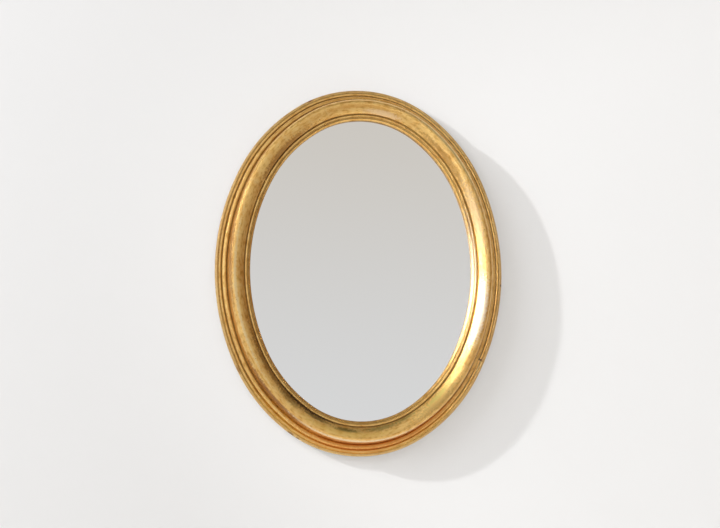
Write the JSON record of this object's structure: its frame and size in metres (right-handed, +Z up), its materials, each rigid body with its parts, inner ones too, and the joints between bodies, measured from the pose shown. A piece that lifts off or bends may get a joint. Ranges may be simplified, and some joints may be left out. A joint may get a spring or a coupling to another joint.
{
  "type": "oval wall mirror",
  "caption": "Oval wall mirror with a stepped gilt wooden moulding, silvered glass, a back panel held by turn buttons and a swinging hanger ring.",
  "frame": {"origin": "the middle of the oval, on the plane of the wall that the bumpers touch", "axes": "+Z up, along the oval's height; +Y into the wall, so the glass faces -Y; +X to the viewer's right"},
  "size_m": [0.393, 0.038, 0.5],
  "materials": {
    "gilt_wood": "gold leaf over red bole on wood, toned and rubbed",
    "beech_dowel": "raw beech",
    "silvered_glass": "polished float glass, silvered on the back",
    "pine_block": "sawn pine",
    "hardboard": "pressed hardboard",
    "zinc_steel": "zinc-plated sheet steel and wire",
    "screw_steel": "zinc-plated screws",
    "bumper_rubber": "soft rubber"
  },
  "bodies": {
    "frame": {"frame_top_segment": "gilt_wood", "frame_right_segment": "gilt_wood", "frame_bottom_segment": "gilt_wood", "frame_left_segment": "gilt_wood", "dowel_upper_right_front": "beech_dowel", "dowel_upper_right_back": "beech_dowel", "dowel_upper_left_front": "beech_dowel", "dowel_upper_left_back": "beech_dowel", "dowel_lower_left_front": "beech_dowel", "dowel_lower_left_back": "beech_dowel", "dowel_lower_right_front": "beech_dowel", "dowel_lower_right_back": "beech_dowel", "mirror_glass": "silvered_glass", "glass_block_upper_right_side": "pine_block", "glass_block_upper_right_end": "pine_block", "glass_block_upper_left_side": "pine_block", "glass_block_upper_left_end": "pine_block", "glass_block_lower_left_side": "pine_block", "glass_block_lower_left_end": "pine_block", "glass_block_lower_right_side": "pine_block", "glass_block_lower_right_end": "pine_block", "back_panel": "hardboard", "button_screw_right": "screw_steel", "button_screw_left": "screw_steel", "button_screw_upper_right": "screw_steel", "button_screw_upper_left": "screw_steel", "button_screw_lower_left": "screw_steel", "button_screw_lower_right": "screw_steel", "hanger_strap": "zinc_steel", "hanger_screw_right": "screw_steel", "hanger_screw_left": "screw_steel", "wall_bumper_upper_right": "bumper_rubber", "wall_bumper_upper_left": "bumper_rubber", "wall_bumper_lower_left": "bumper_rubber", "wall_bumper_lower_right": "bumper_rubber"},
    "ring": {"hanger_ring": "zinc_steel"},
    "button_right": {"turn_button_right": "zinc_steel"},
    "button_left": {"turn_button_left": "zinc_steel"},
    "button_upper_right": {"turn_button_upper_right": "zinc_steel"},
    "button_upper_left": {"turn_button_upper_left": "zinc_steel"},
    "button_lower_left": {"turn_button_lower_left": "zinc_steel"},
    "button_lower_right": {"turn_button_lower_right": "zinc_steel"}
  },
  "joints": [
    {"name": "ring_swing", "type": "hinge", "parent": "frame", "child": "ring", "pos_m": [0, -0.0032, 0.2322], "axis": [-1, 0, 0], "range_deg": [0, 180]},
    {"name": "button_right_turn", "type": "hinge", "parent": "frame", "child": "button_right", "pos_m": [0.1705, -0.0057, 0], "axis": [0, 1, 0], "continuous": true},
    {"name": "button_left_turn", "type": "hinge", "parent": "frame", "child": "button_left", "pos_m": [-0.1705, -0.0057, 0], "axis": [0, 1, 0], "continuous": true},
    {"name": "button_upper_right_turn", "type": "hinge", "parent": "frame", "child": "button_upper_right", "pos_m": [0.05878, -0.0057, 0.21043], "axis": [0, 1, 0], "continuous": true},
    {"name": "button_upper_left_turn", "type": "hinge", "parent": "frame", "child": "button_upper_left", "pos_m": [-0.05878, -0.0057, 0.21043], "axis": [0, 1, 0], "continuous": true},
    {"name": "button_lower_left_turn", "type": "hinge", "parent": "frame", "child": "button_lower_left", "pos_m": [-0.05878, -0.0057, -0.21043], "axis": [0, 1, 0], "continuous": true},
    {"name": "button_lower_right_turn", "type": "hinge", "parent": "frame", "child": "button_lower_right", "pos_m": [0.05878, -0.0057, -0.21043], "axis": [0, 1, 0], "continuous": true}
  ]
}
